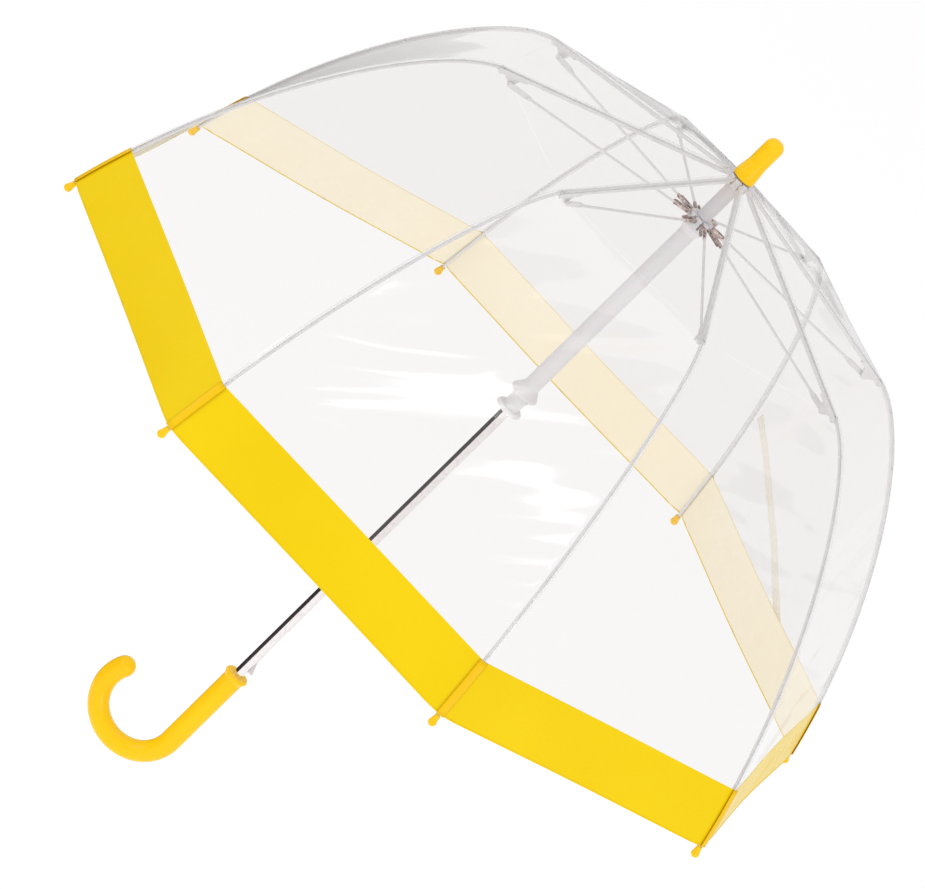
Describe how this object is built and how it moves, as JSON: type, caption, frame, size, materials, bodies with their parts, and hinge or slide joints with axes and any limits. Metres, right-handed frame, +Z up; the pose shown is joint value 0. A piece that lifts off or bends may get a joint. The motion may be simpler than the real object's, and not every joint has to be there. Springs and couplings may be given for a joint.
{
  "type": "children's dome umbrella",
  "caption": "Child's stick umbrella with a clear dome canopy and yellow border, folding ribs and stretchers, a sliding runner, spring catches and a crook handle.",
  "frame": {"origin": "on the shaft's axis at the middle of the handle's straight grip, where a hand holds it", "axes": "+Z up the shaft to the ferrule; +X away from the crook, through the middle of a canopy panel, the side the catches stand out on; +Y completes the right hand"},
  "size_m": [0.6482, 0.6482, 0.6955],
  "materials": {
    "clear_film": "clear soft film, glossy",
    "border": "glossy film",
    "handle": "glossy",
    "ribs": "satin white",
    "stretchers": "satin white",
    "runner": "satin",
    "sleeve": "satin",
    "shaft": "polished",
    "wire": "bare",
    "catch": "bare",
    "strap": "clear yellowish film",
    "snap": "pressed"
  },
  "bodies": {
    "shaft": {"shaft": "shaft", "crook_handle": "handle", "ferrule_cap": "handle", "top_notch": "runner", "notch_wire": "wire", "top_sleeve": "sleeve"},
    "runner": {"runner": "runner", "runner_wire": "wire"},
    "upper_catch": {"upper_catch": "catch"},
    "lower_catch": {"lower_catch": "catch"},
    "inner_rib_1": {"inner_rib_1": "ribs", "film_top_1": "clear_film"},
    "outer_rib_1": {"outer_rib_1": "ribs", "film_side_1": "clear_film", "border_1": "border"},
    "stretcher_1": {"stretcher_1": "stretchers"},
    "inner_rib_2": {"inner_rib_2": "ribs", "film_top_2": "clear_film"},
    "outer_rib_2": {"outer_rib_2": "ribs", "film_side_2": "clear_film", "border_2": "border", "tie_strap": "strap", "strap_snap": "snap"},
    "stretcher_2": {"stretcher_2": "stretchers"},
    "inner_rib_3": {"inner_rib_3": "ribs", "film_top_3": "clear_film"},
    "outer_rib_3": {"outer_rib_3": "ribs", "film_side_3": "clear_film", "border_3": "border"},
    "stretcher_3": {"stretcher_3": "stretchers"},
    "inner_rib_4": {"inner_rib_4": "ribs", "film_top_4": "clear_film"},
    "outer_rib_4": {"outer_rib_4": "ribs", "film_side_4": "clear_film", "border_4": "border"},
    "stretcher_4": {"stretcher_4": "stretchers"},
    "inner_rib_5": {"inner_rib_5": "ribs", "film_top_5": "clear_film"},
    "outer_rib_5": {"outer_rib_5": "ribs", "film_side_5": "clear_film", "border_5": "border"},
    "stretcher_5": {"stretcher_5": "stretchers"},
    "inner_rib_6": {"inner_rib_6": "ribs", "film_top_6": "clear_film"},
    "outer_rib_6": {"outer_rib_6": "ribs", "film_side_6": "clear_film", "border_6": "border"},
    "stretcher_6": {"stretcher_6": "stretchers"},
    "inner_rib_7": {"inner_rib_7": "ribs", "film_top_7": "clear_film"},
    "outer_rib_7": {"outer_rib_7": "ribs", "film_side_7": "clear_film", "border_7": "border"},
    "stretcher_7": {"stretcher_7": "stretchers"},
    "inner_rib_8": {"inner_rib_8": "ribs", "film_top_8": "clear_film"},
    "outer_rib_8": {"outer_rib_8": "ribs", "film_side_8": "clear_film", "border_8": "border"},
    "stretcher_8": {"stretcher_8": "stretchers"}
  },
  "joints": [
    {"name": "runner_slide", "type": "slide", "parent": "shaft", "child": "runner", "axis": [0, 0, -1], "range_m": [0, 0.2925], "deforming": ["film_top_1", "film_side_1", "border_1", "film_top_2", "film_side_2", "border_2", "film_top_3", "film_side_3", "border_3", "film_top_4", "film_side_4", "border_4", "film_top_5", "film_side_5", "border_5", "film_top_6", "film_side_6", "border_6", "film_top_7", "film_side_7", "border_7", "film_top_8", "film_side_8", "border_8", "tie_strap", "upper_catch", "lower_catch"]},
    {"name": "inner_rib_1_fold", "type": "hinge", "parent": "shaft", "child": "inner_rib_1", "pos_m": [0.00628, 0.0026, 0.5714], "axis": [-0.3827, 0.9239, 0], "range_deg": [0, 64.81]},
    {"name": "outer_rib_1_fold", "type": "hinge", "parent": "inner_rib_1", "child": "outer_rib_1", "pos_m": [0.16854, 0.06981, 0.52298], "axis": [0.3827, -0.9239, 0], "range_deg": [0, 35.21]},
    {"name": "stretcher_1_fold", "type": "hinge", "parent": "runner", "child": "stretcher_1", "pos_m": [0.00739, 0.00306, 0.531], "axis": [0.3827, -0.9239, 0], "range_deg": [0, 87.02]},
    {"name": "inner_rib_2_fold", "type": "hinge", "parent": "shaft", "child": "inner_rib_2", "pos_m": [0.0026, 0.00628, 0.5714], "axis": [-0.9239, 0.3827, 0], "range_deg": [0, 64.81]},
    {"name": "outer_rib_2_fold", "type": "hinge", "parent": "inner_rib_2", "child": "outer_rib_2", "pos_m": [0.06981, 0.16854, 0.52298], "axis": [0.9239, -0.3827, 0], "range_deg": [0, 35.21]},
    {"name": "stretcher_2_fold", "type": "hinge", "parent": "runner", "child": "stretcher_2", "pos_m": [0.00306, 0.00739, 0.531], "axis": [0.9239, -0.3827, 0], "range_deg": [0, 87.02]},
    {"name": "inner_rib_3_fold", "type": "hinge", "parent": "shaft", "child": "inner_rib_3", "pos_m": [-0.0026, 0.00628, 0.5714], "axis": [-0.9239, -0.3827, 0], "range_deg": [0, 64.81]},
    {"name": "outer_rib_3_fold", "type": "hinge", "parent": "inner_rib_3", "child": "outer_rib_3", "pos_m": [-0.06981, 0.16854, 0.52298], "axis": [0.9239, 0.3827, 0], "range_deg": [0, 35.21]},
    {"name": "stretcher_3_fold", "type": "hinge", "parent": "runner", "child": "stretcher_3", "pos_m": [-0.00306, 0.00739, 0.531], "axis": [0.9239, 0.3827, 0], "range_deg": [0, 87.02]},
    {"name": "inner_rib_4_fold", "type": "hinge", "parent": "shaft", "child": "inner_rib_4", "pos_m": [-0.00628, 0.0026, 0.5714], "axis": [-0.3827, -0.9239, 0], "range_deg": [0, 64.81]},
    {"name": "outer_rib_4_fold", "type": "hinge", "parent": "inner_rib_4", "child": "outer_rib_4", "pos_m": [-0.16854, 0.06981, 0.52298], "axis": [0.3827, 0.9239, 0], "range_deg": [0, 35.21]},
    {"name": "stretcher_4_fold", "type": "hinge", "parent": "runner", "child": "stretcher_4", "pos_m": [-0.00739, 0.00306, 0.531], "axis": [0.3827, 0.9239, 0], "range_deg": [0, 87.02]},
    {"name": "inner_rib_5_fold", "type": "hinge", "parent": "shaft", "child": "inner_rib_5", "pos_m": [-0.00628, -0.0026, 0.5714], "axis": [0.3827, -0.9239, 0], "range_deg": [0, 64.81]},
    {"name": "outer_rib_5_fold", "type": "hinge", "parent": "inner_rib_5", "child": "outer_rib_5", "pos_m": [-0.16854, -0.06981, 0.52298], "axis": [-0.3827, 0.9239, 0], "range_deg": [0, 35.21]},
    {"name": "stretcher_5_fold", "type": "hinge", "parent": "runner", "child": "stretcher_5", "pos_m": [-0.00739, -0.00306, 0.531], "axis": [-0.3827, 0.9239, 0], "range_deg": [0, 87.02]},
    {"name": "inner_rib_6_fold", "type": "hinge", "parent": "shaft", "child": "inner_rib_6", "pos_m": [-0.0026, -0.00628, 0.5714], "axis": [0.9239, -0.3827, 0], "range_deg": [0, 64.81]},
    {"name": "outer_rib_6_fold", "type": "hinge", "parent": "inner_rib_6", "child": "outer_rib_6", "pos_m": [-0.06981, -0.16854, 0.52298], "axis": [-0.9239, 0.3827, 0], "range_deg": [0, 35.21]},
    {"name": "stretcher_6_fold", "type": "hinge", "parent": "runner", "child": "stretcher_6", "pos_m": [-0.00306, -0.00739, 0.531], "axis": [-0.9239, 0.3827, 0], "range_deg": [0, 87.02]},
    {"name": "inner_rib_7_fold", "type": "hinge", "parent": "shaft", "child": "inner_rib_7", "pos_m": [0.0026, -0.00628, 0.5714], "axis": [0.9239, 0.3827, 0], "range_deg": [0, 64.81]},
    {"name": "outer_rib_7_fold", "type": "hinge", "parent": "inner_rib_7", "child": "outer_rib_7", "pos_m": [0.06981, -0.16854, 0.52298], "axis": [-0.9239, -0.3827, 0], "range_deg": [0, 35.21]},
    {"name": "stretcher_7_fold", "type": "hinge", "parent": "runner", "child": "stretcher_7", "pos_m": [0.00306, -0.00739, 0.531], "axis": [-0.9239, -0.3827, 0], "range_deg": [0, 87.02]},
    {"name": "inner_rib_8_fold", "type": "hinge", "parent": "shaft", "child": "inner_rib_8", "pos_m": [0.00628, -0.0026, 0.5714], "axis": [0.3827, 0.9239, 0], "range_deg": [0, 64.81]},
    {"name": "outer_rib_8_fold", "type": "hinge", "parent": "inner_rib_8", "child": "outer_rib_8", "pos_m": [0.16854, -0.06981, 0.52298], "axis": [-0.3827, -0.9239, 0], "range_deg": [0, 35.21]},
    {"name": "stretcher_8_fold", "type": "hinge", "parent": "runner", "child": "stretcher_8", "pos_m": [0.00739, -0.00306, 0.531], "axis": [-0.3827, -0.9239, 0], "range_deg": [0, 87.02]},
    {"name": "upper_catch_press", "type": "hinge", "parent": "shaft", "child": "upper_catch", "pos_m": [0, 0, 0.32658], "axis": [0, -1, 0], "range_deg": [0, 14], "stiffness_Nm_per_rad": 0.02},
    {"name": "lower_catch_press", "type": "hinge", "parent": "shaft", "child": "lower_catch", "pos_m": [0, 0, 0.0578], "axis": [0, 1, 0], "range_deg": [0, 14], "stiffness_Nm_per_rad": 0.02}
  ],
  "couplings": [
    {"joint": "inner_rib_1_fold", "follows": "runner_slide", "rad_per_m": 3.8672},
    {"joint": "outer_rib_1_fold", "follows": "runner_slide", "rad_per_m": 2.1008},
    {"joint": "stretcher_1_fold", "follows": "runner_slide", "rad_per_m": 5.1926},
    {"joint": "inner_rib_2_fold", "follows": "runner_slide", "rad_per_m": 3.8672},
    {"joint": "outer_rib_2_fold", "follows": "runner_slide", "rad_per_m": 2.1008},
    {"joint": "stretcher_2_fold", "follows": "runner_slide", "rad_per_m": 5.1926},
    {"joint": "inner_rib_3_fold", "follows": "runner_slide", "rad_per_m": 3.8672},
    {"joint": "outer_rib_3_fold", "follows": "runner_slide", "rad_per_m": 2.1008},
    {"joint": "stretcher_3_fold", "follows": "runner_slide", "rad_per_m": 5.1926},
    {"joint": "inner_rib_4_fold", "follows": "runner_slide", "rad_per_m": 3.8672},
    {"joint": "outer_rib_4_fold", "follows": "runner_slide", "rad_per_m": 2.1008},
    {"joint": "stretcher_4_fold", "follows": "runner_slide", "rad_per_m": 5.1926},
    {"joint": "inner_rib_5_fold", "follows": "runner_slide", "rad_per_m": 3.8672},
    {"joint": "outer_rib_5_fold", "follows": "runner_slide", "rad_per_m": 2.1008},
    {"joint": "stretcher_5_fold", "follows": "runner_slide", "rad_per_m": 5.1926},
    {"joint": "inner_rib_6_fold", "follows": "runner_slide", "rad_per_m": 3.8672},
    {"joint": "outer_rib_6_fold", "follows": "runner_slide", "rad_per_m": 2.1008},
    {"joint": "stretcher_6_fold", "follows": "runner_slide", "rad_per_m": 5.1926},
    {"joint": "inner_rib_7_fold", "follows": "runner_slide", "rad_per_m": 3.8672},
    {"joint": "outer_rib_7_fold", "follows": "runner_slide", "rad_per_m": 2.1008},
    {"joint": "stretcher_7_fold", "follows": "runner_slide", "rad_per_m": 5.1926},
    {"joint": "inner_rib_8_fold", "follows": "runner_slide", "rad_per_m": 3.8672},
    {"joint": "outer_rib_8_fold", "follows": "runner_slide", "rad_per_m": 2.1008},
    {"joint": "stretcher_8_fold", "follows": "runner_slide", "rad_per_m": 5.1926}
  ]
}
